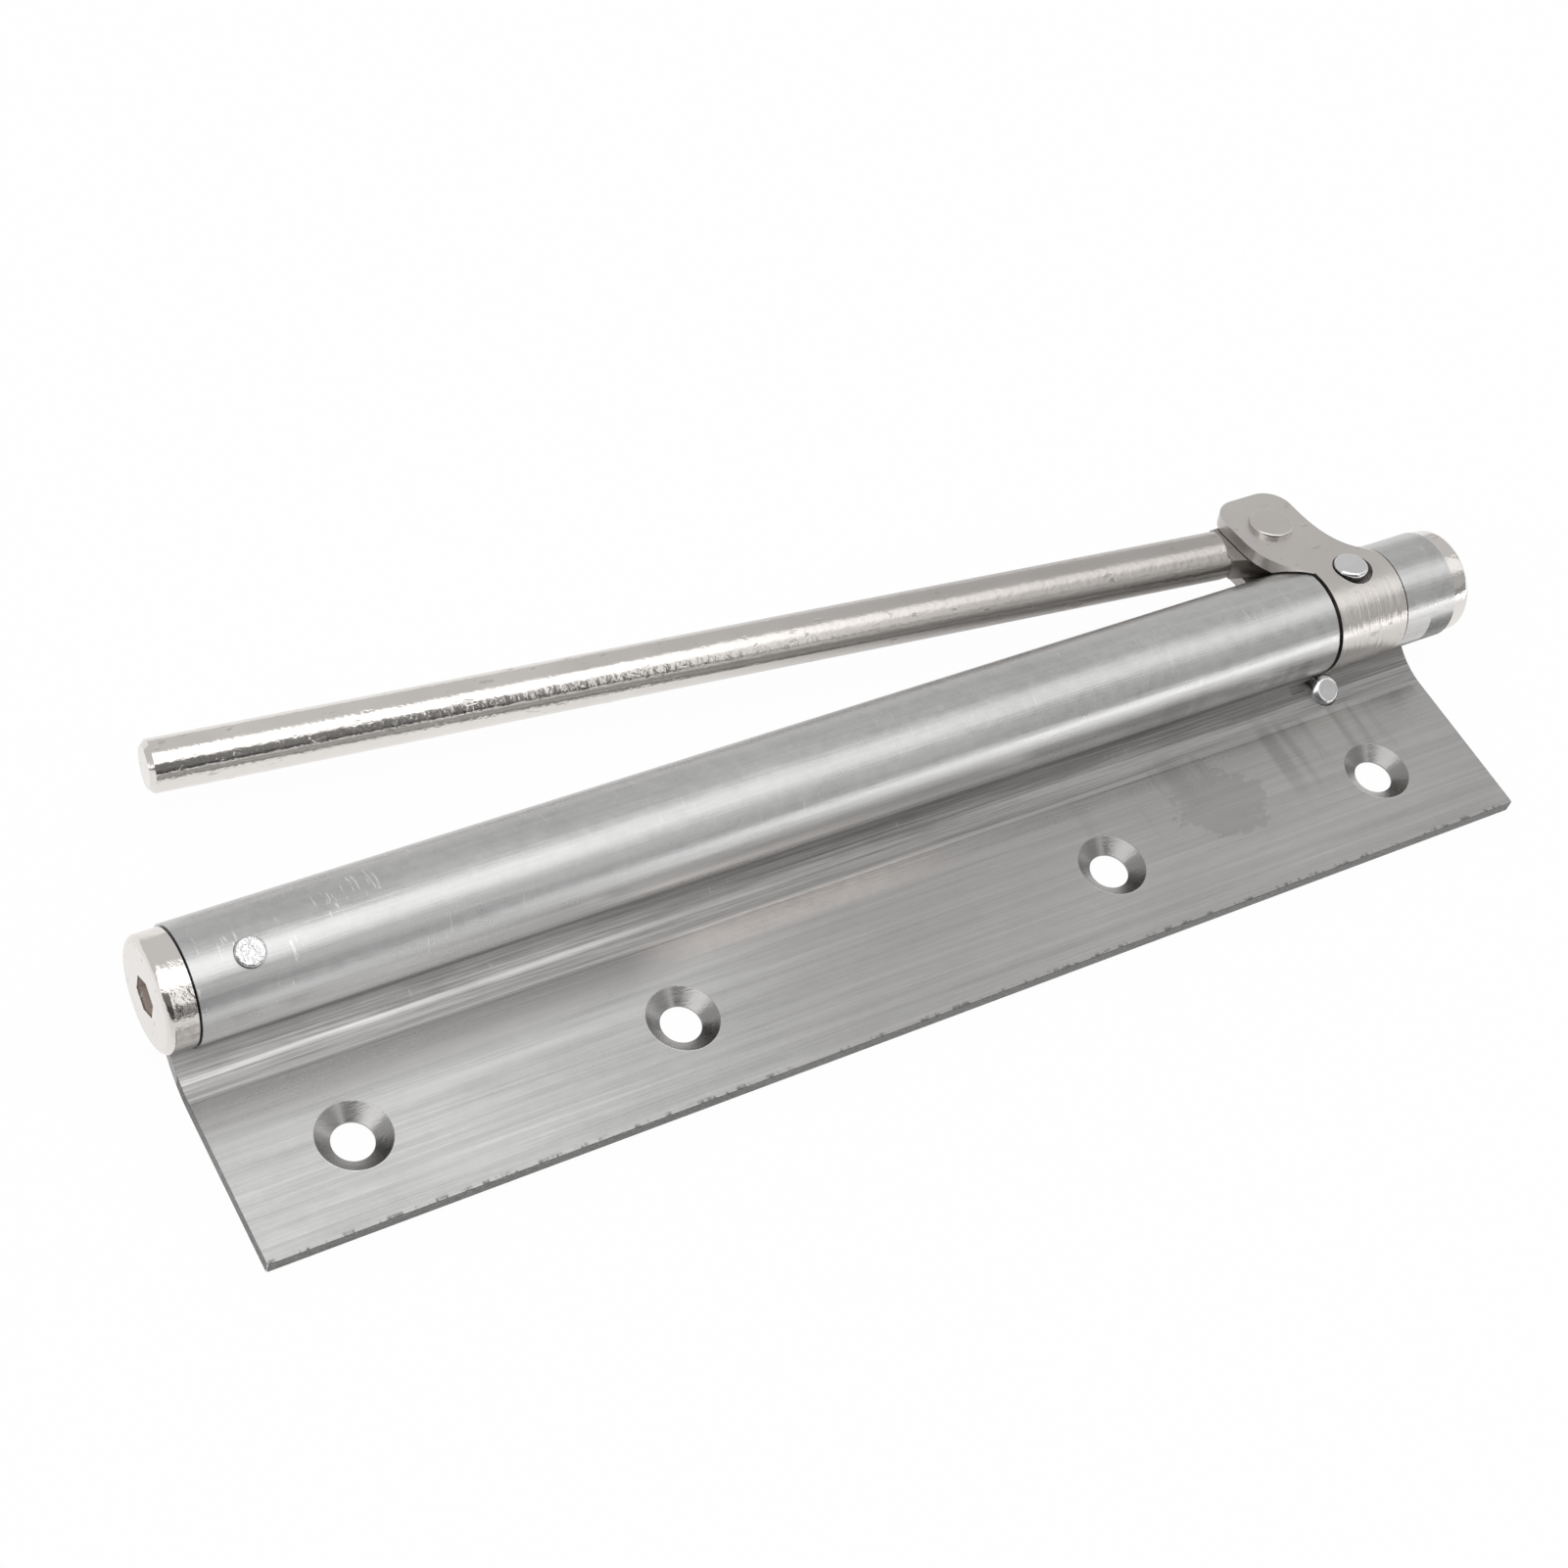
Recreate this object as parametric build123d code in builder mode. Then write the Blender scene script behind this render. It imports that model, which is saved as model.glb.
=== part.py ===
from build123d import *
import os
from math import acos, atan2, cos, degrees, hypot, radians, sin

# Spring door closer for surface mounting: one rolled sheet makes the screw flange and the
# barrel, a coil spring in the barrel turns a strap clevis, and a round arm folds in the clevis.
# Millimetres. X runs along the barrel from the adjuster to the arm end, Y from the flange
# towards the barrel, Z away from the door. The origin lies on the mounting face, at the
# middle of the screw row.

# Rolled sheet
sheet = 2.2
plate_length = 246.0
plate_front = 15.4
screw_row_to_axis = 28.6
tube_radius = 10.0
tube_clearance = 2.7
neck_angle = 35.0
neck_crest_radius = 3.0
neck_straight = 0.6
neck_joins_roll = 20.0
seam_gap = 0.15
corner_radius = 0.4

# Screw holes
outer_screw_inset = 21.0
inner_screw_pitch = 86.0
inner_pair_shift = -1.0
screw_hole_radius = 3.5
countersink_radius = 6.2
screw_hole_land = 0.3

# Places along the barrel
barrel_inset = 3.4
strap_inset = 21.6
strap_width = 15.3
strap_gap_left = 0.7
strap_gap_right = 0.4
knuckle_length = 11.3

# Clearances
running_fit = 0.05
seat_fit = 0.05
end_play = 0.1
sweep_clearance = 0.3

# Strap clevis and its turning core
strap_radius = 10.2
strap_thickness = 2.5
strap_tilt = 10.0
clevis_gap = 4.7
clevis_reach = 24.7
clevis_offset = 7.0
clevis_corner = 4.8
lower_leg_root = 11.2
rivet_reach = 15.9
core_journal_radius = 6.0
drive_pin_radius = 3.2
drive_pin_window = 3.8
drive_pin_lead = 0.25
drive_pin_proud = 0.9
drive_pin_recess = 1.0
drive_pin_round = 0.7

# Arm
arm_radius = 4.5
arm_length = 211.5
arm_swing = 6.9
arm_end_chamfer = 0.9
eye_play = 0.15
eye_radius = 6.0
eye_flat_length = 9.9
eye_shoulder = 1.0
rivet_radius = 2.5
rivet_head_radius = 4.1
rivet_head_height = 1.0
rivet_head_round = 0.45

# Bushes, washers and the plain end cap
bush_length = 9.6
bush_recess = 0.2
washer_thickness = 0.4
cap_radius = 9.6
cap_round = 1.2
end_cap_thickness = 4.1
end_cap_spigot = 1.2

# Adjuster
adjuster_thickness = 4.9
adjuster_gap = 0.3
adjuster_relief = 0.4
hex_across_flats = 6.0
hex_depth = 6.0
adjuster_journal_radius = 5.0
adjuster_shank_radius = 4.0
sleeve_length = 19.2
ratchet_length = 6.0
ratchet_teeth = 12
ratchet_root_radius = 6.9
ratchet_tip_radius = 6.1
pawl_count = 3
pawl_thickness = 0.6
pawl_hub_wall = 0.8
pawl_lead = 2.0
pawl_sweep = 52.0
adjuster_washer_thickness = 0.8
clip_thickness = 0.8
clip_depth = 0.7
clip_opening = 5.0
shank_tail = 6.0
sleeve_pin_place = 9.6
sleeve_pin_radius = 2.5
sleeve_pin_angle = 21.5
sleeve_pin_proud = 0.8
sleeve_pin_round = 0.4

# Spring and its guide rod
spring_wire = 1.1
spring_radius = 6.1
spring_turns = 26
spring_tang = 3.2
spring_guide_radius = 4.0
guide_spigot_radius = 1.8
guide_spigot_length = 10.0
core_tail_radius = 4.6

# Stop pin beside the strap
stop_pin_radius = 3.0
stop_pin_from_strap = 1.0
stop_pin_dome = 2.0
stop_pin_edge_gap = 0.25
stop_pin_round = 1.2
relief_notch_length = 8.0
relief_notch_width = 1.6
relief_notch_drop = 1.6
relief_notch_depth = 1.2

# Worked out from the values above
axis_y = screw_row_to_axis
axis_z = tube_radius + tube_clearance
bore_radius = tube_radius - sheet
roll_radius = tube_radius - sheet / 2
plate_end = plate_length / 2
outer_screw_pitch = plate_length - 2 * outer_screw_inset
barrel_start = barrel_inset - plate_end
strap_start = plate_end - strap_inset
barrel_end = strap_start - strap_gap_left
strap_end = strap_start + strap_width
knuckle_start = strap_end + strap_gap_right
knuckle_end = knuckle_start + knuckle_length
sweep_radius = strap_radius + sweep_clearance
strap_middle = strap_start + strap_width / 2
screw_places = [
    -outer_screw_pitch / 2,
    inner_pair_shift - inner_screw_pitch / 2,
    inner_pair_shift + inner_screw_pitch / 2,
    outer_screw_pitch / 2,
]


def on_axis(x, across=0.0, up=0.0):
    """A point given along the barrel and by its distance from the barrel's axis."""
    return (x, axis_y + across, axis_z + up)


def from_bottom(angle, radius):
    """Across and up from the axis, the angle counted from straight down towards the flange."""
    return (-radius * sin(radians(angle)), -radius * cos(radians(angle)))


def section_plane(x):
    """A plane square to the barrel, its own axes across and up."""
    return Plane(origin=on_axis(x), x_dir=(0, 1, 0), z_dir=(1, 0, 0))


turning_plane = Plane(origin=on_axis(0), x_dir=(1, 0, 0), z_dir=(0, -1, 0))
barrel_axis = Axis(on_axis(0), (1, 0, 0))

# The strap's own directions: outward along the clevis, and square to its legs
tilt = radians(strap_tilt)
outward = Vector(0, cos(tilt), -sin(tilt))
square = Vector(0, sin(tilt), cos(tilt))


def strap_section(x):
    """A plane square to the barrel that turns with the strap: outward, then square."""
    return Plane(origin=on_axis(x), x_dir=outward, z_dir=(1, 0, 0))


def leg_plane(height):
    """A plane along a clevis leg: along the barrel, then outward."""
    return Plane(origin=Vector(*on_axis(0)) + square * height, x_dir=(1, 0, 0), z_dir=square)


def ring(plane, outer, inner, length):
    """A plain turned ring that starts at the plane."""
    with BuildPart() as made:
        with BuildSketch(plane):
            Circle(outer)
            Circle(inner, mode=Mode.SUBTRACT)
        extrude(amount=length)
    return made.part


def save(piece, name):
    """Label a finished piece and write it."""
    piece.part.label = name
    export_step(piece.part, f"parts/{name}.step")


os.makedirs("parts", exist_ok=True)

# Neck of the sheet: a hollow bend up from the flange, a short straight and a round crest
# that turns down into the roll. The hollow bend's radius follows from the drop.
crest_spread = roll_radius + neck_crest_radius
crest_across, crest_up = from_bottom(neck_joins_roll, crest_spread)
rise = radians(neck_angle)
slope_top = (
    axis_y + crest_across - neck_crest_radius * sin(rise),
    axis_z + crest_up + neck_crest_radius * cos(rise),
)
neck_drop = slope_top[1] - sheet / 2
hollow_radius = (neck_drop - neck_straight * sin(rise)) / (1 - cos(rise))
slope_foot = (
    slope_top[0] - neck_straight * cos(rise),
    slope_top[1] - neck_straight * sin(rise),
)
flange_end = (slope_foot[0] - hollow_radius * sin(rise), sheet / 2)
crest_top_radius = neck_crest_radius + sheet / 2
seam_angle = (
    neck_joins_roll
    + degrees(
        acos(
            (tube_radius**2 + crest_spread**2 - crest_top_radius**2)
            / (2 * tube_radius * crest_spread)
        )
    )
    + degrees(seam_gap / tube_radius)
)


def neck_surface(radius):
    """Across and up from the axis, where the neck's upper face lies this far from the axis."""
    centre = (slope_foot[0] - hollow_radius * sin(rise), sheet / 2 + hollow_radius)
    top_radius = hollow_radius - sheet / 2
    to_centre = (centre[0] - axis_y, centre[1] - axis_z)
    spread = hypot(*to_centre)
    bearing = atan2(to_centre[1], to_centre[0])
    turn = acos((radius**2 + spread**2 - top_radius**2) / (2 * radius * spread))
    return (radius * cos(bearing + turn), radius * sin(bearing + turn))


# Sleeve pin and stop pin directions
pin_lean = radians(sleeve_pin_angle)
sleeve_pin_x = barrel_start + sleeve_pin_place
sleeve_pin_direction = Vector(0, -sin(pin_lean), cos(pin_lean))
sleeve_pin_plane = Plane(
    origin=on_axis(sleeve_pin_x), x_dir=(1, 0, 0), z_dir=sleeve_pin_direction
)
stop_pin_x = strap_start + stop_pin_from_strap
slope_direction = Vector(0, cos(rise), sin(rise))
slope_normal = Vector(0, -sin(rise), cos(rise))
window_lip = Vector(*on_axis(stop_pin_x, *neck_surface(sweep_radius)))
stop_pin_centre = window_lip - slope_direction * (stop_pin_radius + stop_pin_edge_gap)
stop_pin_plane = Plane(origin=stop_pin_centre, x_dir=(1, 0, 0), z_dir=slope_normal)

with BuildPart() as mounting_shell:
    with BuildSketch(Plane.YZ.offset(-plate_end)):
        with BuildLine():
            flange = Line((-plate_front, sheet / 2), flange_end)
            hollow = JernArc(flange @ 1, flange % 1, hollow_radius, neck_angle)
            slope = Line(hollow @ 1, slope_top)
            JernArc(slope @ 1, slope % 1, neck_crest_radius, -neck_angle - neck_joins_roll)
        trace(line_width=sheet)
    extrude(amount=plate_length)
    # Room for the adjuster's head at the end of the plate
    with BuildSketch(section_plane(-plate_end)):
        Circle(cap_radius + adjuster_relief)
    extrude(amount=barrel_start + plate_end, mode=Mode.SUBTRACT)
    # The roll itself, from the neck round under the barrel and back to the seam
    with BuildSketch(section_plane(barrel_start)):
        with BuildLine():
            CenterArc(
                (0, 0), roll_radius, -90 - neck_joins_roll, 360 - seam_angle + neck_joins_roll
            )
        trace(line_width=sheet)
    extrude(amount=knuckle_end - barrel_start)
    # Window for the strap
    with BuildSketch(section_plane(barrel_end)):
        Circle(sweep_radius)
    extrude(amount=knuckle_start - barrel_end, mode=Mode.SUBTRACT)
    # Relief notch in the neck's upper face, beside the window
    with BuildSketch(Plane(origin=window_lip, x_dir=(1, 0, 0), z_dir=slope_normal)):
        with Locations((barrel_end + stop_pin_radius - stop_pin_x, -relief_notch_drop)):
            Rectangle(relief_notch_length, relief_notch_width, align=(Align.MAX, Align.CENTER))
    extrude(amount=relief_notch_depth, both=True, mode=Mode.SUBTRACT)
    with Locations(*[(x, 0, sheet) for x in screw_places]):
        CounterSinkHole(
            screw_hole_radius,
            countersink_radius,
            counter_sink_angle=2
            * degrees(atan2(countersink_radius - screw_hole_radius, sheet - screw_hole_land)),
        )
    with BuildSketch(sleeve_pin_plane):
        Circle(sleeve_pin_radius + seat_fit)
    extrude(amount=tube_radius + sleeve_pin_proud, mode=Mode.SUBTRACT)
    with BuildSketch(stop_pin_plane):
        Circle(stop_pin_radius)
    extrude(amount=sheet, both=True, mode=Mode.SUBTRACT)
    fillet(mounting_shell.edges().filter_by(Axis.Z).group_by(Axis.Y)[0], corner_radius)
save(mounting_shell, "mounting_shell")

# Ratchet sleeve: a plain bearing bore first, then inward saw teeth, held by the sleeve pin
sleeve_end = barrel_start + sleeve_length
ratchet_start = sleeve_end - ratchet_length
tooth_step = 360 / ratchet_teeth
tooth_share = 5 / 6


def polar(radius, angle):
    """A point on a flat sketch from its radius and angle."""
    return (radius * cos(radians(angle)), radius * sin(radians(angle)))


with BuildPart() as ratchet_sleeve:
    with BuildSketch(section_plane(barrel_start)):
        Circle(bore_radius - seat_fit)
        Circle(adjuster_journal_radius + running_fit, mode=Mode.SUBTRACT)
    extrude(amount=ratchet_start - barrel_start)
    with BuildSketch(section_plane(ratchet_start)):
        Circle(bore_radius - seat_fit)
        Circle(ratchet_root_radius, mode=Mode.SUBTRACT)
        with PolarLocations(0, ratchet_teeth):
            Polygon(
                polar(ratchet_root_radius + pawl_thickness, 0),
                polar(ratchet_tip_radius, 0),
                polar(ratchet_root_radius, tooth_step * tooth_share),
                polar(ratchet_root_radius + pawl_thickness, tooth_step * tooth_share),
                align=None,
            )
    extrude(amount=ratchet_length)
    with BuildSketch(sleeve_pin_plane):
        Circle(sleeve_pin_radius + seat_fit)
    extrude(amount=bore_radius, mode=Mode.SUBTRACT)
save(ratchet_sleeve, "ratchet_sleeve")

# Peened pin through the barrel wall into the sleeve
sleeve_pin_foot = adjuster_journal_radius + running_fit + end_play
with BuildPart() as sleeve_pin:
    with BuildSketch(sleeve_pin_plane.offset(sleeve_pin_foot)):
        Circle(sleeve_pin_radius)
    extrude(amount=tube_radius + sleeve_pin_proud - sleeve_pin_foot)
    fillet(
        sleeve_pin.faces().sort_by(Axis(on_axis(sleeve_pin_x), sleeve_pin_direction))[-1].edges(),
        sleeve_pin_round,
    )
save(sleeve_pin, "sleeve_pin")

# Adjuster plug: plated head with a hexagon socket, journal, shank, clip groove and spring slot
head_back = barrel_start - adjuster_gap
head_face = head_back - adjuster_thickness
washer_start = sleeve_end + end_play
clip_start = washer_start + adjuster_washer_thickness + end_play
shank_end = clip_start + clip_thickness + shank_tail
with BuildPart() as adjuster_plug:
    with BuildSketch(turning_plane):
        with BuildLine():
            Polyline(
                (head_face, 0),
                (head_face, cap_radius),
                (head_back, cap_radius),
                (head_back, adjuster_journal_radius),
                (ratchet_start - end_play, adjuster_journal_radius),
                (ratchet_start - end_play, adjuster_shank_radius),
                (clip_start, adjuster_shank_radius),
                (clip_start, adjuster_shank_radius - clip_depth),
                (clip_start + clip_thickness, adjuster_shank_radius - clip_depth),
                (clip_start + clip_thickness, adjuster_shank_radius),
                (shank_end, adjuster_shank_radius),
                (shank_end, 0),
                close=True,
            )
        make_face()
    revolve(axis=barrel_axis)
    fillet(adjuster_plug.faces().sort_by(Axis.X)[0].edges(), cap_round)
    with BuildSketch(section_plane(head_face)):
        RegularPolygon(hex_across_flats / 2, 6, major_radius=False, rotation=30)
    extrude(amount=hex_depth, mode=Mode.SUBTRACT)
    with BuildSketch(section_plane(shank_end)):
        Rectangle(2 * (spring_wire + end_play), 2 * adjuster_shank_radius)
    extrude(amount=-shank_tail + end_play, mode=Mode.SUBTRACT)
save(adjuster_plug, "adjuster_plug")

# Spring steel pawls on the shank, their tips behind the steep faces of the saw teeth
pawl_hub_radius = adjuster_shank_radius + running_fit + pawl_hub_wall
pawl_reach = ratchet_root_radius - end_play
with BuildPart() as ratchet_pawls:
    with BuildSketch(section_plane(ratchet_start + end_play)):
        Circle(pawl_hub_radius)
        with PolarLocations(0, pawl_count):
            Polygon(
                polar(pawl_reach, -pawl_lead),
                polar(pawl_reach - pawl_thickness, -pawl_lead),
                polar(adjuster_shank_radius + running_fit + pawl_hub_wall / 2, -pawl_sweep),
                polar(pawl_hub_radius, -pawl_sweep * 3 / 4),
                align=None,
            )
        Circle(adjuster_shank_radius + seat_fit, mode=Mode.SUBTRACT)
    extrude(amount=ratchet_length - 2 * end_play)
save(ratchet_pawls, "ratchet_pawls")

with BuildPart() as adjuster_washer:
    with BuildSketch(section_plane(washer_start)):
        Circle(bore_radius - sweep_clearance)
        Circle(adjuster_shank_radius + seat_fit, mode=Mode.SUBTRACT)
    extrude(amount=adjuster_washer_thickness)
save(adjuster_washer, "adjuster_washer")

# Spring clip, open at one side so that it snaps into the groove
with BuildPart() as retaining_clip:
    with BuildSketch(section_plane(clip_start)):
        Circle(adjuster_shank_radius + 2 * clip_depth)
        Circle(adjuster_shank_radius - clip_depth, mode=Mode.SUBTRACT)
        with Locations((adjuster_shank_radius, 0)):
            Rectangle(2 * adjuster_shank_radius, clip_opening, mode=Mode.SUBTRACT)
    extrude(amount=clip_thickness)
save(retaining_clip, "retaining_clip")

# Bushes that carry the turning core on both sides of the strap window
barrel_bush_end = barrel_end - bush_recess
knuckle_bush_start = knuckle_start + bush_recess
bush_bore = core_journal_radius + running_fit
barrel_bush_start = barrel_bush_end - bush_length
bush_outer = bore_radius - seat_fit
with BuildPart() as barrel_bush:
    add(ring(section_plane(barrel_bush_start), bush_outer, bush_bore, bush_length))
save(barrel_bush, "barrel_bush")

knuckle_bush_length = knuckle_length - bush_recess - end_cap_spigot
with BuildPart() as knuckle_bush:
    add(ring(section_plane(knuckle_bush_start), bush_outer, bush_bore, knuckle_bush_length))
save(knuckle_bush, "knuckle_bush")

# Thrust washers between the bushes and the shoulders of the core
core_left = barrel_bush_end + washer_thickness + end_play
core_right = knuckle_bush_start - washer_thickness - end_play
washer_outer = bore_radius - seat_fit - end_play
with BuildPart() as barrel_washer:
    add(ring(section_plane(barrel_bush_end), washer_outer, bush_bore, washer_thickness))
save(barrel_washer, "barrel_washer")

knuckle_washer_start = knuckle_bush_start - washer_thickness
with BuildPart() as knuckle_washer:
    add(ring(section_plane(knuckle_washer_start), washer_outer, bush_bore, washer_thickness))
save(knuckle_washer, "knuckle_washer")

# Plain end cap on a short spigot
with BuildPart() as end_cap:
    with BuildSketch(section_plane(knuckle_end)):
        Circle(cap_radius)
    extrude(amount=end_cap_thickness)
    fillet(end_cap.faces().sort_by(Axis.X)[-1].edges(), cap_round)
    with BuildSketch(section_plane(knuckle_end)):
        Circle(bore_radius - seat_fit)
    extrude(amount=-end_cap_spigot)
save(end_cap, "end_cap")

# Stop pin: domed end of a pin pressed through the neck below the strap
with BuildPart() as stop_pin:
    with BuildSketch(stop_pin_plane.offset(-sheet)):
        Circle(stop_pin_radius)
    extrude(amount=sheet + stop_pin_dome)
    fillet(
        stop_pin.faces().sort_by(Axis(stop_pin_centre, slope_normal))[-1].edges(),
        stop_pin_round,
    )
save(stop_pin, "stop_pin")

# Turning core: journals in both bushes, full width under the strap, cross hole and spring slot
core_radius = strap_radius - strap_thickness - seat_fit
core_tail = barrel_bush_start - shank_tail
core_nose = knuckle_bush_start + knuckle_bush_length - end_play
with BuildPart() as rotor_core:
    with BuildSketch(turning_plane):
        with BuildLine():
            Polyline(
                (core_tail, 0),
                (core_tail, core_tail_radius),
                (core_tail + shank_tail, core_tail_radius),
                (core_tail + shank_tail, core_journal_radius),
                (core_left, core_journal_radius),
                (core_left, core_radius),
                (core_right, core_radius),
                (core_right, core_journal_radius),
                (core_nose, core_journal_radius),
                (core_nose, 0),
                close=True,
            )
        make_face()
    revolve(axis=barrel_axis)
    with BuildSketch(section_plane(core_tail)):
        Circle(guide_spigot_radius + seat_fit)
    extrude(amount=guide_spigot_length + end_play, mode=Mode.SUBTRACT)
    with BuildSketch(section_plane(core_tail)):
        Rectangle(2 * (spring_wire + end_play), 2 * core_journal_radius)
    extrude(amount=shank_tail - end_play, mode=Mode.SUBTRACT)
    with BuildSketch(leg_plane(0)):
        with Locations((strap_middle - drive_pin_lead, drive_pin_lead)):
            Circle(drive_pin_radius + seat_fit)
    extrude(amount=core_radius + seat_fit, both=True, mode=Mode.SUBTRACT)
save(rotor_core, "rotor_core")

# Guide rod down the middle of the spring, its spigot seated in the core
guide_start = shank_end + spring_wire
guide_end = core_tail - end_play
with BuildPart() as spring_guide:
    with BuildSketch(section_plane(guide_start)):
        Circle(spring_guide_radius)
    extrude(amount=guide_end - guide_start)
    with BuildSketch(section_plane(guide_end)):
        Circle(guide_spigot_radius)
    extrude(amount=guide_spigot_length)
save(spring_guide, "spring_guide")

# Drive pin through the core, its round end in the strap's window
drive_pin_foot = drive_pin_recess - core_radius
with BuildPart() as drive_pin:
    with BuildSketch(leg_plane(drive_pin_foot)):
        with Locations((strap_middle - drive_pin_lead, drive_pin_lead)):
            Circle(drive_pin_radius)
    extrude(amount=strap_radius + drive_pin_proud - drive_pin_foot)
    fillet(
        drive_pin.faces().sort_by(Axis(on_axis(strap_middle), square))[-1].edges(),
        drive_pin_round,
    )
save(drive_pin, "drive_pin")

# Torsion spring round the guide rod, with a straight end into each slot
spring_start = shank_end - shank_tail / 2
spring_end = core_tail + shank_tail / 2
spring_length = spring_end - spring_start
spring_pitch = spring_length / spring_turns
with BuildPart() as torsion_spring:
    with BuildLine():
        coil = Helix(
            spring_pitch, spring_length, spring_radius, on_axis(spring_start), (1, 0, 0)
        )
    with BuildSketch(Plane(origin=coil @ 0, z_dir=coil % 0)):
        Circle(spring_wire)
    sweep(path=coil, is_frenet=True)
    for place in (0, 1):
        end = coil @ place
        inward = Vector(0, axis_y - end.Y, axis_z - end.Z).normalized()
        with BuildSketch(Plane(origin=end, z_dir=inward)):
            Circle(spring_wire)
        extrude(amount=spring_tang)
        with Locations(end):
            Sphere(spring_wire)
save(torsion_spring, "torsion_spring")

# Strap clevis: a band round the core whose two ends run out as parallel legs. The legs step
# sideways towards the barrel and end in a wide rounded eye.
upper_face = strap_radius
upper_underside = strap_radius - strap_thickness
lower_face = upper_underside - clevis_gap
lower_underside = lower_face - strap_thickness
clevis_left = strap_start - clevis_offset
clevis_right = strap_end - clevis_offset
rivet_x = (clevis_left + clevis_right) / 2


def upper_leg_outline():
    """Both sides of the upper leg leave the band as flat S curves."""
    left = Bezier(
        (strap_start, 0), (strap_start, 3.5), (clevis_left, 4.5), (clevis_left, 14)
    )
    right = Bezier(
        (strap_end, 0), (strap_end, 4.5), (clevis_right, 3.5), (clevis_right, 17)
    )
    FilletPolyline(
        left @ 1,
        (clevis_left, clevis_reach),
        (clevis_right, clevis_reach),
        right @ 1,
        radius=clevis_corner,
    )
    Line(left @ 0, right @ 0)


def lower_leg_outline():
    """The lower leg starts full width behind the core and narrows to the same eye."""
    right = Bezier(
        (strap_end, lower_leg_root),
        (strap_end, lower_leg_root + 2.5),
        (clevis_right, lower_leg_root + 1.0),
        (clevis_right, 17),
    )
    FilletPolyline(
        (clevis_left, lower_leg_root - 1.0),
        (clevis_left, clevis_reach),
        (clevis_right, clevis_reach),
        right @ 1,
        radius=clevis_corner,
    )
    Polyline((clevis_left, lower_leg_root - 1.0), (strap_end, lower_leg_root - 1.0), right @ 0)


with BuildPart() as swivel_band:
    with BuildSketch(strap_section(strap_start)):
        Circle(strap_radius)
        with Locations((0, lower_underside)):
            Rectangle(lower_leg_root, strap_thickness, align=(Align.MIN, Align.MIN))
        Circle(strap_radius - strap_thickness, mode=Mode.SUBTRACT)
        with Locations((0, lower_face)):
            Rectangle(
                2 * strap_radius, clevis_gap, align=(Align.MIN, Align.MIN), mode=Mode.SUBTRACT
            )
    extrude(amount=strap_width)
    with BuildSketch(leg_plane(upper_underside)):
        with BuildLine():
            upper_leg_outline()
        make_face()
    extrude(amount=strap_thickness)
    with BuildSketch(leg_plane(lower_underside)):
        with BuildLine():
            lower_leg_outline()
        make_face()
    extrude(amount=strap_thickness)
    # Room for the barrel under the step of the legs
    with BuildSketch(strap_section(strap_start)):
        Circle(tube_radius + sweep_clearance)
    extrude(amount=-clevis_offset - strap_width, mode=Mode.SUBTRACT)
    with BuildSketch(leg_plane(0)):
        with Locations((strap_middle, 0)):
            Circle(drive_pin_window)
    extrude(amount=strap_radius, mode=Mode.SUBTRACT)
    with BuildSketch(leg_plane(lower_underside)):
        with Locations((rivet_x, rivet_reach)):
            Circle(rivet_radius + running_fit)
    extrude(amount=upper_face - lower_underside, mode=Mode.SUBTRACT)
save(swivel_band, "swivel_band")

# Arm rivet with a flat head on each leg
eye_height = (upper_underside + lower_face) / 2
rivet_base = Vector(*on_axis(rivet_x)) + outward * rivet_reach
rivet_axis = Axis(rivet_base, square)
with BuildPart() as arm_rivet:
    with BuildSketch(leg_plane(lower_underside)):
        with Locations((rivet_x, rivet_reach)):
            Circle(rivet_radius)
    extrude(amount=upper_face - lower_underside)
    with BuildSketch(leg_plane(upper_face)):
        with Locations((rivet_x, rivet_reach)):
            Circle(rivet_head_radius)
    extrude(amount=rivet_head_height)
    with BuildSketch(leg_plane(lower_underside)):
        with Locations((rivet_x, rivet_reach)):
            Circle(rivet_head_radius)
    extrude(amount=-rivet_head_height)
    fillet(arm_rivet.faces().sort_by(rivet_axis)[-1].edges(), rivet_head_round)
    fillet(arm_rivet.faces().sort_by(rivet_axis)[0].edges(), rivet_head_round)
save(arm_rivet, "arm_rivet")

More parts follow.
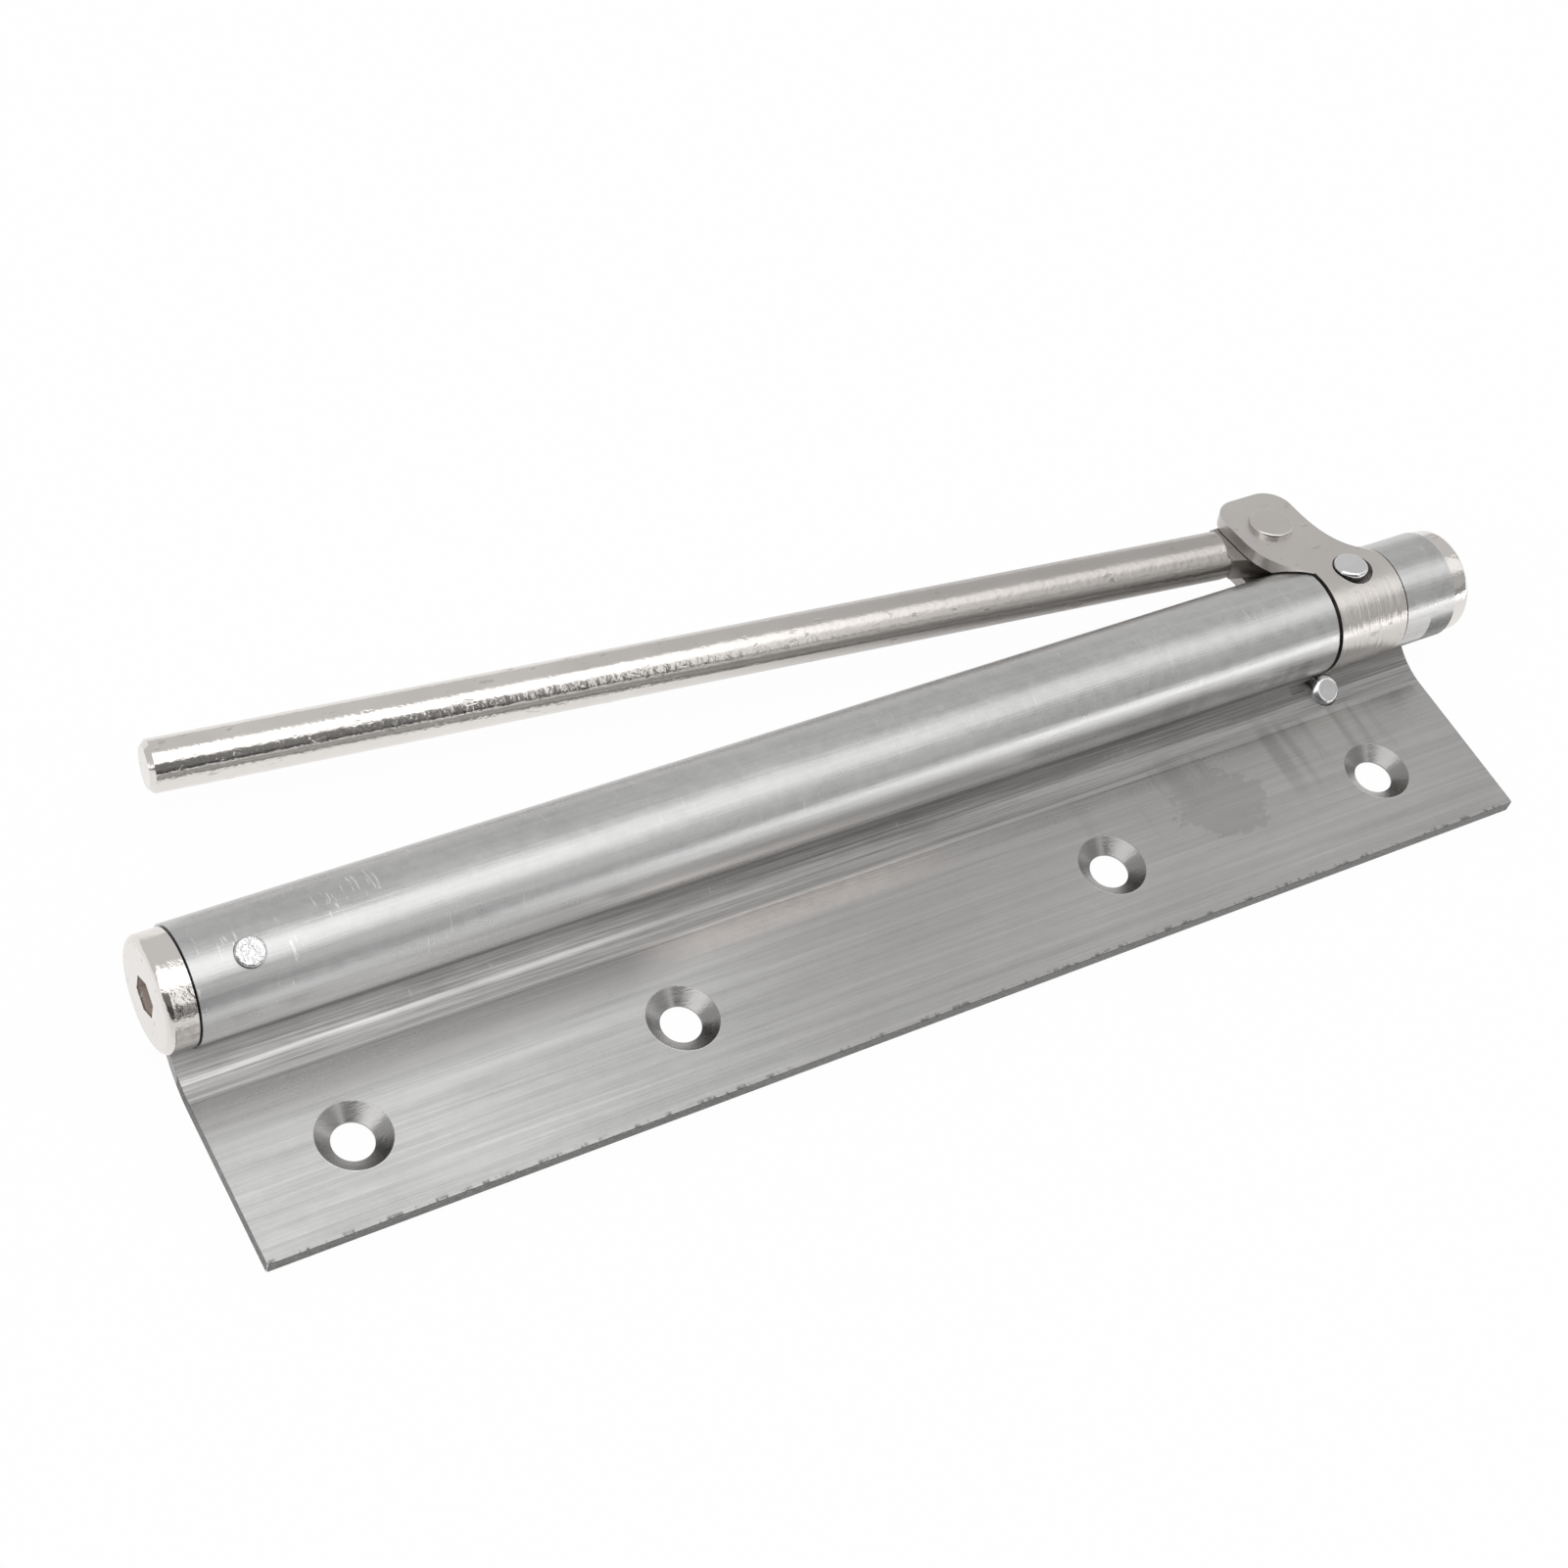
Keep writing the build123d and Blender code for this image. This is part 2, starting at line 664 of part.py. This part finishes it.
# Arm: a round rod, pressed flat at one end into an eye that turns between the legs
swing = radians(arm_swing)
arm_direction = Vector(-cos(swing), 0, 0) + outward * sin(swing)
arm_side = square.cross(arm_direction)
eye_centre = rivet_base + square * eye_height
eye_thickness = clevis_gap - 2 * eye_play
eye_plane = Plane(origin=eye_centre, x_dir=arm_direction, z_dir=square)
arm_side_plane = Plane(origin=eye_centre, x_dir=arm_direction, z_dir=arm_side * -1)
with BuildPart() as arm_rod:
    with BuildSketch(Plane(origin=eye_centre, x_dir=arm_side, z_dir=arm_direction)):
        Circle(arm_radius)
    extrude(amount=arm_length)
    chamfer(
        arm_rod.faces().sort_by(Axis(eye_centre, arm_direction))[-1].edges(),
        arm_end_chamfer,
    )
    with BuildSketch(eye_plane.offset(-eye_thickness / 2)):
        Circle(eye_radius)
        with BuildLine():
            Polyline(
                (0, eye_radius),
                (eye_flat_length, arm_radius),
                (eye_flat_length, -arm_radius),
                (0, -eye_radius),
                close=True,
            )
        make_face()
    extrude(amount=eye_thickness)
    # Flats pressed on both faces of the rod, with a round shoulder
    with BuildSketch(arm_side_plane):
        for side in (1, -1):
            with BuildLine():
                flat = Line(
                    (-2 * eye_radius, side * eye_thickness / 2),
                    (eye_flat_length, side * eye_thickness / 2),
                )
                shoulder = JernArc(flat @ 1, flat % 1, eye_shoulder, side * 60)
                Polyline(
                    shoulder @ 1,
                    ((shoulder @ 1).X, side * 2 * arm_radius),
                    (-2 * eye_radius, side * 2 * arm_radius),
                    flat @ 0,
                )
            make_face()
    extrude(amount=2 * eye_radius, both=True, mode=Mode.SUBTRACT)
    with BuildSketch(eye_plane.offset(-eye_thickness / 2)):
        with Locations((-eye_radius, 0)):
            Rectangle(2 * eye_radius, 2 * eye_radius)
        Circle(eye_radius, mode=Mode.SUBTRACT)
    extrude(amount=eye_thickness, mode=Mode.SUBTRACT)
    with BuildSketch(eye_plane.offset(-eye_thickness / 2)):
        Circle(rivet_radius + running_fit)
    extrude(amount=eye_thickness, mode=Mode.SUBTRACT)
save(arm_rod, "arm_rod")
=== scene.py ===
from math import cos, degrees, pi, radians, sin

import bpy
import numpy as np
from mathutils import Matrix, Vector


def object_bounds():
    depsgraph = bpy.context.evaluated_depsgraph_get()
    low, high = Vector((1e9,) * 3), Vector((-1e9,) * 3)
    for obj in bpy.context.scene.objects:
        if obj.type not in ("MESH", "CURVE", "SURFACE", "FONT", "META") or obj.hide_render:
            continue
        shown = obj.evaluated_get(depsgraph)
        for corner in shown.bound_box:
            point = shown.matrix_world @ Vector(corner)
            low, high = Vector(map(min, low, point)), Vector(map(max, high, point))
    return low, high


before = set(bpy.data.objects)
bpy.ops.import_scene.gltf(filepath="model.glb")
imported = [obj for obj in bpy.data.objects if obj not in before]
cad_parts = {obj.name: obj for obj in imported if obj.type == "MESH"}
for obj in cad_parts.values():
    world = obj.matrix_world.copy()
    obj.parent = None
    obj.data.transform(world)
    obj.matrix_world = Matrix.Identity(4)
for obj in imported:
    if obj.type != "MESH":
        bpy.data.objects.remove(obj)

# %% [markdown]
# # A spring door closer in a white studio
# The closer's solids are already in place, in metres: X runs along the barrel towards the arm
# end, Y from the screw row to the barrel, Z away from the door. This notebook puts a camera,
# finishes and light around them. A finish is built from short expressions, so each cell says
# first what the metal really looks like and then writes that down.

cad_low, cad_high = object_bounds()
print("closer, mm:", [round(side * 1000, 1) for side in cad_high - cad_low])

# %% [markdown]
# ## Camera
# The picture was taken from the adjuster's end, high above the screw side, and tipped so that
# the barrel climbs to the right. Three turns say that: round the closer, up, and about the
# line of sight. The camera looks down its own -Z, so its columns are right, up and back.

# %% Camera at the photograph's angle
target = Vector((-0.01189, 0.0286, 0.0145))
distance = 0.5109
turn, lift, tip = radians(-44.506), radians(50.632), radians(19.338)
back = Vector((sin(turn) * cos(lift), -cos(turn) * cos(lift), sin(lift)))
level_right = Vector((0, 0, 1)).cross(back).normalized()
level_up = back.cross(level_right)
right = cos(tip) * level_right + sin(tip) * level_up
up = -sin(tip) * level_right + cos(tip) * level_up

lens = bpy.data.cameras.new("photo_camera")
lens.sensor_width = 36.0
lens.lens = 70.2
lens.clip_start = 0.01
camera = bpy.data.objects.new("photo_camera", lens)
rotation = Matrix((right, up, back)).transposed().to_4x4()
camera.matrix_world = Matrix.Translation(target + distance * back) @ rotation
bpy.context.collection.objects.link(camera)
bpy.context.scene.camera = camera
bpy.context.scene.view_settings.view_transform = "Standard"
print("camera stands at", [round(part, 3) for part in camera.matrix_world.translation])

# %% [markdown]
# ## Arithmetic on sockets
# `Signal` wraps a number that changes over a surface. Plain Python operators on it add Math
# nodes, so `1 - mask * 0.3` reads as it would on paper.


# %% Signals
class Signal:
    def __init__(self, finish, socket):
        self.finish, self.socket = finish, socket

    def maths(self, operation, *values):
        inputs = dict(enumerate(values))
        return self.finish.node("ShaderNodeMath", {"operation": operation}, inputs)

    def __add__(self, other):
        return self.maths("ADD", self, other)

    def __sub__(self, other):
        return self.maths("SUBTRACT", self, other)

    def __rsub__(self, other):
        return self.maths("SUBTRACT", other, self)

    def __mul__(self, other):
        return self.maths("MULTIPLY", self, other)

    def __truediv__(self, other):
        return self.maths("DIVIDE", self, other)

    def __pow__(self, other):
        return self.maths("POWER", self, other)

    __radd__, __rmul__ = __add__, __mul__

    def least(self, other):
        return self.maths("MINIMUM", self, other)

    def most(self, other):
        return self.maths("MAXIMUM", self, other)

    def size(self):
        return self.maths("ABSOLUTE", self)

    def ramp(self, start, end):
        """0 below start, 1 above end and a smooth step between; start may be the larger."""
        settings = {"interpolation_type": "SMOOTHSTEP"}
        inputs = {"Value": self, "From Min": start, "From Max": end}
        return self.finish.node("ShaderNodeMapRange", settings, inputs)


print("signals can:", [name for name in vars(Signal) if not name.startswith("_")])

# %% [markdown]
# ## Finishes
# A `Finish` is one material. Its `node` method adds every node, and the others are short names
# for the nodes that metal needs: noise, an axis, a blend of two colours and a bump.


# %% Finishes
class Finish:
    """A material under construction, and the one way that nodes are added to it."""

    def __init__(self, name, tree=None):
        if tree is None:
            self.material = bpy.data.materials.new(name)
            self.material.use_nodes = True
            tree = self.material.node_tree
            self.surface = tree.nodes["Principled BSDF"]
        self.tree = tree

    def node(self, kind, settings=None, inputs=None, output=0):
        made = self.tree.nodes.new(kind)
        for name, value in (settings or {}).items():
            setattr(made, name, value)
        for name, value in (inputs or {}).items():
            self.feed(made.inputs[name], value)
        return Signal(self, made.outputs[output])

    def feed(self, socket, value):
        if isinstance(value, Signal):
            self.tree.links.new(value.socket, socket)
        else:
            socket.default_value = value

    def place(self, stretch=(1, 1, 1), shift=(0, 0, 0)):
        """Object coordinates in metres, moved and then scaled."""
        spot = self.node("ShaderNodeTexCoord", output="Object")
        return self.node(
            "ShaderNodeMapping", None, {"Vector": spot, "Location": shift, "Scale": stretch}
        )

    def noise(self, stretch, detail=2.0, rough=0.5, shift=(0, 0, 0)):
        """Noise from 0 to 1; stretch is cells per metre along each axis."""
        spot = self.place(stretch, shift)
        inputs = {"Vector": spot, "Scale": 1.0, "Detail": detail, "Roughness": rough}
        return self.node("ShaderNodeTexNoise", None, inputs)

    def axis(self, name):
        spot = self.node("ShaderNodeTexCoord", output="Object")
        return self.node("ShaderNodeSeparateXYZ", None, {"Vector": spot}, output=name)

    def blend(self, share, first, second):
        """A colour between two, by a share from 0 to 1."""
        settings = {"data_type": "RGBA", "clamp_factor": True}
        inputs = {"Factor": share, 6: first, 7: second}
        return self.node("ShaderNodeMix", settings, inputs, output=2)

    def bump(self, height, depth, under=None):
        """A bump whose height signal of 1 stands depth metres high."""
        inputs = {"Height": height, "Distance": depth}
        if under is not None:
            inputs["Normal"] = under
        return self.node("ShaderNodeBump", None, inputs)

    def set(self, **sockets):
        for name, value in sockets.items():
            self.feed(self.surface.inputs[name.replace("_", " ").title()], value)


def grey(level):
    return (level, level, level, 1.0)


print("finishes can:", [name for name in vars(Finish) if not name.startswith("_")])

# %% [markdown]
# ## Rolled stainless sheet
# The sheet was brushed flat before it was rolled, so its grain runs along the barrel: bands of
# about 2 mm with finer streaks in them. The rollers polished the barrel, which keeps only faint
# streaks under a mottled skin. Bands, streaks and clouds are all noise stretched along X.

# %% Places on the closer, in metres
barrel_y, barrel_z = 0.0286, 0.0127
flange_front, flange_end = -0.0154, 0.123
hole_places = (-0.102, -0.044, 0.042, 0.102)
print("screw holes at X, mm:", [round(place * 1000) for place in hole_places])

# %% Sheet grain
pale_steel, grey_steel = (0.85, 0.845, 0.84, 1), (0.44, 0.437, 0.434, 1)
sheet = Finish("satin_stainless")
along, across, height = [sheet.axis(name) for name in "XYZ"]
bands = sheet.noise((8, 460, 460), 3.0, 0.6)
streaks = sheet.noise((42, 2600, 2600), 3.0, 0.65)
clouds = sheet.noise((30, 60, 60), 4.0, 0.62, (0.3, 0, 0))
mottle = sheet.noise((420, 420, 420), 4.0, 0.7)
speckle = sheet.noise((2600, 3600, 3600), 2.0, 0.6)
print("sheet grain:", len(sheet.tree.nodes), "nodes")

# %% Sheet tone and dullness
rolled = across.ramp(0.0185, 0.0205)
flat = 1 - rolled
brushed = 1 - rolled * 0.62
level = 0.66 + ((bands - 0.5) * 0.9 + (streaks - 0.5) * 0.8) * brushed + (clouds - 0.5) * 0.35
level = level + (mottle - 0.5) * (rolled * 0.35 + 0.1) - rolled * 0.36
level = level + along.ramp(-0.055, -0.09) * flat * 0.12
tone = sheet.blend(level, grey_steel, pale_steel)
dull = 0.30 + (bands - 0.5) * 0.16 + (clouds - 0.5) * 0.16 + (mottle - 0.5) * 0.14
print("with its tone:", len(sheet.tree.nodes), "nodes")

# %% [markdown]
# ## Marks of use
# The flange grows darker towards the arm end, and a dark patch and runs lie there. Short
# scrapes go across the barrel, most of them near the adjuster. A patch is an ellipse whose
# edge noise makes ragged; a scrape is noise stretched across the grain.

# %% Scrapes
few = sheet.noise((150, 150, 150), 1.0, 0.5, (0, 0.5, 0)).ramp(0.52, 0.62)
scrapes = sheet.noise((2200, 240, 240), 2.0, 0.6).ramp(0.60, 0.68) * few
near_adjuster = along.ramp(-0.07, -0.095) * height.ramp(0.011, 0.016)
scuffs = (scrapes * (near_adjuster + rolled * 0.3)).least(1.0)
print("with scrapes:", len(sheet.tree.nodes), "nodes")

# %% Stains
runs = sheet.noise((130, 10, 10), 3.0, 0.6, (0.2, 0, 0)).ramp(0.48, 0.62) * across.ramp(-0.004, 0.010)
ragged = (clouds * 2 + mottle - 1.5) * 3.0
patch = ((along - 0.069) / 0.009) ** 2 + ((across - 0.004) / 0.006) ** 2 + ragged
near_arm = along.ramp(0.02, 0.08) * flat
# darker towards the arm end over the flange and neck
darker_to_arm_end = along.ramp(-0.070, 0.0) * across.ramp(0.024, 0.014) * 0.52
stains_and_darkening = darker_to_arm_end + (patch.ramp(0.9, 0.7) * 0.14).most(runs * near_arm * 0.22)
print("with stains:", len(sheet.tree.nodes), "nodes")

# %% [markdown]
# ## Bends
# Two bends lift the sheet from the flange to the barrel. At the first, painted shade darkens the
# bend on the adjuster's half and fades out onto the flange. Painted shade also darkens the neck
# between the bends, over real streaks, and a burnished line runs below the second on the
# adjuster's half. A faint tan film lies on the flange beside the first bend.

# %% Marks of the bends
# painted shade: darkest at the first bend, fading out onto the flange
painted_crease_shade = across.ramp(0.003, 0.0135) * across.ramp(0.0150, 0.0144) * along.ramp(-0.02, -0.05) * 0.7
neck = across.ramp(0.0140, 0.0155) * height.ramp(0.0110, 0.0095)
# painted shade over the neck, streaked by the grain
neck_shade_and_streaks = neck * (0.70 + (streaks - 0.5) * 1.6 + (bands - 0.5) * 1.2)
burnish = across.ramp(0.0172, 0.0176) * across.ramp(0.0184, 0.0180) * along.ramp(0.02, -0.04)
tanned = across.ramp(0.0085, 0.0115) * across.ramp(0.0150, 0.0144) * along.ramp(-0.05, -0.03)
tanned = tanned * along.ramp(0.03, -0.01) * (mottle + clouds - 0.3)
print("with bends:", len(sheet.tree.nodes), "nodes")

# %% Marks laid over the grain
stain_and_shade_dark, bare_steel = (0.27, 0.262, 0.256, 1), (0.92, 0.92, 0.91, 1)
tan_film = (0.80, 0.74, 0.70, 1)
# real stains darken the flange; painted shade darkens the first bend and the neck
tone = sheet.blend((stains_and_darkening * flat).most(painted_crease_shade).most(neck_shade_and_streaks), tone, stain_and_shade_dark)
tone = sheet.blend((scuffs * 0.7).most(burnish * 0.2), tone, bare_steel)
tone = sheet.blend(tanned * 0.8, tone, tan_film)
worn = along.ramp(-0.08, -0.01) * 0.2 + 0.12
dull = dull + scuffs * 0.12 + neck * worn - burnish * 0.1
print("with all marks:", len(sheet.tree.nodes), "nodes")

# %% [markdown]
# ## Cut edges and countersinks
# The press tore the sheet's front and ends, so they are dark, rough and have no grain, and it
# nicked the front edge. A drill left fine rings in the countersinks: a sine of the distance to
# the nearest hole draws them. The countersinks are also darkened, partly by the cut steel's
# own tone and partly by painted shade in their hollows.

# %% Cut edges
torn = sheet.noise((900, 900, 5000), 3.0, 0.7)
front_face = across.ramp(flange_front + 0.00010, flange_front + 0.00003)
end_faces = along.size().ramp(flange_end - 0.00007, flange_end - 0.00002)
sheared = front_face.most(end_faces * across.ramp(0.0195, 0.0185))
front_rim = across.ramp(flange_front + 0.0010, flange_front + 0.0002)
nicks = sheet.noise((500, 300, 300), 3.0, 0.7, (0, 1, 0)).ramp(0.50, 0.60) * front_rim
gashed = (sheared * (torn * 0.9 + 0.35)).most(nicks * 0.7)
print("with cut edges:", len(sheet.tree.nodes), "nodes")

# %% Countersinks
cone_radius, cone_edge, ring_pitch = 0.0062, 0.00008, 0.00042
nearest = None
for place in hole_places:
    distance_out = ((along - place) ** 2 + across ** 2) ** 0.5
    nearest = distance_out if nearest is None else nearest.least(distance_out)
cone = nearest.ramp(cone_radius + cone_edge, cone_radius - cone_edge)
rings = ((nearest + (clouds - 0.5) * 0.0002) * (2 * pi / ring_pitch)).maths("SINE")
print("with countersinks:", len(sheet.tree.nodes), "nodes")

# %% Sheet finished
cut_steel_and_shade, torn_steel = (0.27, 0.265, 0.26, 1), (0.12, 0.118, 0.115, 1)
# painted shade in the countersinks, over the cut steel's own darker tone
tone = sheet.blend(cone * 0.8, tone, cut_steel_and_shade)
tone = sheet.blend(gashed, tone, torn_steel)
dull = (dull + sheared * 0.15 - cone * 0.06).most(0.16)
grain = sheet.bump(bands * 0.5 + streaks * 0.5, 0.00005)
grain = sheet.bump(speckle * rolled, 0.00001, grain)
grain = sheet.bump(torn * sheared, 0.0002, grain)
grain = sheet.bump(rings * cone, 0.00007, grain)
sheet.set(base_color=tone, metallic=1.0, roughness=dull, normal=grain)
print("sheet finished:", len(sheet.tree.nodes), "nodes")

# %% [markdown]
# ## Nickel plate
# The caps, strap and arm are warm and glossy, over steel that wasn't smooth: the arm has an
# orange-peel skin with a ragged line of pits, the strap a fine ripple from its bending, the
# caps a few dimples at the rim, and the key socket is brown inside. The arm and the strap
# are rougher towards the arm's hinge, and painted shade darkens them there. One function
# makes each from its peel and ripple.

# %% Nickel colours
pale_nickel, grey_nickel = (0.84, 0.81, 0.78, 1), (0.66, 0.63, 0.60, 1)
pit_brown, socket_brown = (0.36, 0.33, 0.30, 1), (0.55, 0.48, 0.43, 1)
# painted shade colour for near the arm's hinge
hinge_shade_grey = (0.30, 0.28, 0.265, 1)
print("tarnish keeps", round(hinge_shade_grey[0] / pale_nickel[0], 2), "of the plate's red")


# %% Nickel finishes
def nickel(name, peel_cells, peel_depth, ripple=(0, 0), gloss=0.16, hinge_shade=0, socket=None):
    """Plate over rough steel. ripple is cells per metre and a depth; socket the X of a face."""
    plate = Finish(name)
    x, y, z = [plate.axis(axis) for axis in "XYZ"]
    peel = plate.noise((peel_cells,) * 3, 3.0, 0.55)
    pits = plate.noise((peel_cells * 0.45, peel_cells, peel_cells), 2.0, 0.6, (1, 1, 1))
    film = plate.noise((70, 70, 70), 3.0, 0.6)
    pitted = pits.ramp(0.64, 0.72)
    colour = plate.blend(film, grey_nickel, pale_nickel)
    colour = plate.blend(pitted * 0.35, colour, pit_brown)
    # painted shade: darker towards the arm's hinge
    hinge_shaded = x.ramp(-0.06, 0.06) * hinge_shade
    colour = plate.blend(hinge_shaded, colour, hinge_shade_grey)
    rough = (gloss + (film - 0.5) * 0.16 + pitted * 0.12 + hinge_shaded * 0.2).most(0.08)
    skin = plate.bump(peel - pitted * 0.4, peel_depth)
    skin = plate.bump(plate.noise((1500, 2600, 2600), 2.0, 0.6), peel_depth * 0.2, skin)
    if ripple[0]:
        waves = plate.noise((ripple[0], ripple[0] * 0.05, ripple[0] * 0.05), 1.0)
        skin = plate.bump(waves * y.ramp(0.028, 0.022), ripple[1], skin)
    metal = 1.0
    if socket:
        radius = ((y - barrel_y) ** 2 + (z - barrel_z) ** 2) ** 0.5
        depth = x - socket
        inside = radius.ramp(0.0037, 0.0035) * depth.ramp(0, 0.0004) * depth.ramp(0.0066, 0.0060)
        colour = plate.blend(inside, colour, socket_brown)
        rough, metal = rough + inside * 0.4, 1 - inside * 0.8
    plate.set(base_color=colour, metallic=metal, roughness=rough, normal=skin)
    return plate


cap_plate = nickel("nickel_cap", 500, 0.00010, gloss=0.11, socket=cad_low.x + 0.0002)
strap_plate = nickel("nickel_strap", 700, 0.00004, (1500, 0.00016), 0.24, 0.26)
arm_plate = nickel("nickel_arm", 620, 0.00007, gloss=0.11, hinge_shade=0.55)
print("plated:", [plate.material.name for plate in (cap_plate, strap_plate, arm_plate)])

# %% [markdown]
# ## Pins and inner pieces
# The sleeve pin was peened, so its end is bright and dented; the stop pin and the drive pin
# are smoother. Inside, the turned steel is oily and grey, the springs are darker, and the
# bushes are sintered bronze with open pores.


# %% Pin, steel and bronze finishes
def turned(name, light, dark, cells, depth, rough):
    metal = Finish(name)
    dents = metal.noise((cells,) * 3, 2.0, 0.6)
    haze = metal.noise((180, 180, 180), 3.0, 0.6)
    colour = metal.blend(haze, dark, light)
    metal.set(base_color=colour, metallic=1.0, roughness=rough + (haze - 0.5) * 0.2)
    metal.set(normal=metal.bump(dents, depth))
    return metal


pin_metal = turned("bright_pin", grey(0.78), grey(0.52), 900, 0.00030, 0.22)
smooth_pin = turned("smooth_pin", grey(0.80), grey(0.66), 500, 0.00006, 0.20)
core_steel = turned("turned_steel", grey(0.52), grey(0.34), 2600, 0.00002, 0.34)
spring_steel = turned("spring_steel", grey(0.30), grey(0.16), 1500, 0.00003, 0.38)
bronze = turned(
    "sintered_bronze", (0.72, 0.50, 0.27, 1), (0.52, 0.34, 0.18, 1), 5200, 0.00003, 0.42
)
print("turned:", [metal.material.name for metal in (pin_metal, smooth_pin, core_steel, bronze)])

# %% [markdown]
# ## Which piece has which finish
# Every solid keeps its shape and gets its metal here.

# %% Finishes to pieces
finish_of = {
    "mounting_shell": sheet,
    "adjuster_plug": cap_plate,
    "end_cap": cap_plate,
    "swivel_band": strap_plate,
    "arm_rivet": strap_plate,
    "arm_rod": arm_plate,
    "stop_pin": smooth_pin,
    "sleeve_pin": pin_metal,
    "drive_pin": smooth_pin,
    "torsion_spring": spring_steel,
    "ratchet_pawls": spring_steel,
    "retaining_clip": spring_steel,
    "barrel_bush": bronze,
    "knuckle_bush": bronze,
    "barrel_washer": bronze,
    "knuckle_washer": bronze,
}
for name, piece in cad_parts.items():
    finish = finish_of.get(name, core_steel)
    for index in range(len(piece.material_slots)):
        piece.material_slots[index].material = finish.material
print("pieces with a finish:", len(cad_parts))

# %% [markdown]
# ## Floor
# A white floor runs out on all sides. The camera sees it almost plain white, with a trace of
# the closer's shadow. Metal mirrors it bright in most places, but dim in front of the
# adjuster's half and in a patch behind the arm's half, where the real metal looks dark.


# %% Floor
def flat_sheet(name, half, level):
    """A square at one height: corner i is (half * sx, half * sy, level)."""
    signs = np.array([(-1, -1), (1, -1), (1, 1), (-1, 1)], float)
    corners = np.column_stack([signs * half, np.full(4, level)])
    mesh = bpy.data.meshes.new(name)
    mesh.from_pydata(corners.tolist(), [], [(0, 1, 2, 3)])
    made = bpy.data.objects.new(name, mesh)
    bpy.context.collection.objects.link(made)
    return made


floor_gap = 0.0002
floor = flat_sheet("floor", 6.0, float(cad_low.z) - floor_gap)
print("floor lies at z =", round(floor.data.vertices[0].co.z, 5))


# %% Floor finish
def seen(finish):
    """How white the floor looks: near 1 to the camera, and from dim to bright in reflections."""
    to_camera, dim, bright = 0.97, 0.17, 0.97
    direct, glossy, through = [
        finish.node("ShaderNodeLightPath", output=f"Is {kind} Ray")
        for kind in ("Camera", "Glossy", "Transmission")
    ]
    x, y = finish.axis("X"), finish.axis("Y")
    lit = (x + y * 0.42).ramp(-0.055, -0.035).most(y.ramp(-0.02, 0.02))
    lit = lit - x.ramp(-0.02, 0.06) * x.ramp(0.155, 0.105) * y.ramp(0.0, 0.02)
    return (direct * to_camera).most(glossy.most(through) * (lit * (bright - dim) + dim))


paper = Finish("white_paper")
paper.set(base_color=grey(0.86), roughness=0.9)
glow = paper.node("ShaderNodeEmission", None, {"Color": grey(1.0), "Strength": 1.0})
own = Signal(paper, paper.surface.outputs["BSDF"])
mixed = paper.node("ShaderNodeMixShader", None, {0: seen(paper), 1: own, 2: glow})
paper.feed(paper.tree.nodes["Material Output"].inputs["Surface"], mixed)
floor.data.materials.append(paper.material)
print("floor finish:", len(paper.tree.nodes), "nodes")

# %% [markdown]
# ## Room
# Polished metal shows the whole room, so the room is written as bands of light round the
# barrel's axis: the grey room behind, a wide lamp overhead, a dimmer front and a dark strip low
# down. The barrel's arm half also mirrors a standing panel far in front. The polished rod lies
# at an angle to the barrel and mirrors directions more square to it, where the front is dark.

# %% Directions of the room
world = bpy.data.worlds.new("studio")
world.use_nodes = True
bpy.context.scene.world = world
room = Finish("studio", world.node_tree)
way = room.node("ShaderNodeTexCoord", output="Generated")
ahead, aside, rise = [
    room.node("ShaderNodeSeparateXYZ", None, {"Vector": way}, output=name) for name in "XYZ"
]
turned_by = room.node("ShaderNodeMath", {"operation": "ARCTAN2"}, {0: aside * -1, 1: rise})
angle = turned_by * degrees(1)
far_end = ahead.ramp(0.25, 0.55)
rod_only = ahead.ramp(0.27, 0.19)
print("directions:", len(room.tree.nodes), "nodes")


# %% Bands of light
def reach(near, far):
    """A value that changes from what the adjuster's end mirrors to what the arm's end does."""
    return far_end * (far - near) + near


def band(start, end, level, edge=6):
    """Light between two angles, in degrees from straight up towards the front."""
    return (angle - start).ramp(-edge, edge) * (angle - end).ramp(edge, -edge) * level


lamp_back = rod_only * -9 - 5
lamp_front = reach(33, 30)
overhead = band(lamp_back, lamp_front, reach(1.8, 1.15))
behind = band(-250, lamp_back, 0.68)
front = band(lamp_front, 66, reach(1.3, 0.52)) + band(66, 84, reach(0.4, 0.3))
low_strip = band(82, 250, 0.12)
standing = band(84, 106, 4.2) * ahead.ramp(0.365, 0.405)
light = overhead + behind + front * (1 - rod_only * 0.85) + low_strip + standing
to_camera = room.node("ShaderNodeLightPath", output="Is Camera Ray")
shade = room.blend(to_camera, light, grey(1.0))
room.feed(world.node_tree.nodes["Background"].inputs["Color"], shade)
print("room:", len(room.tree.nodes), "nodes")

# %% [markdown]
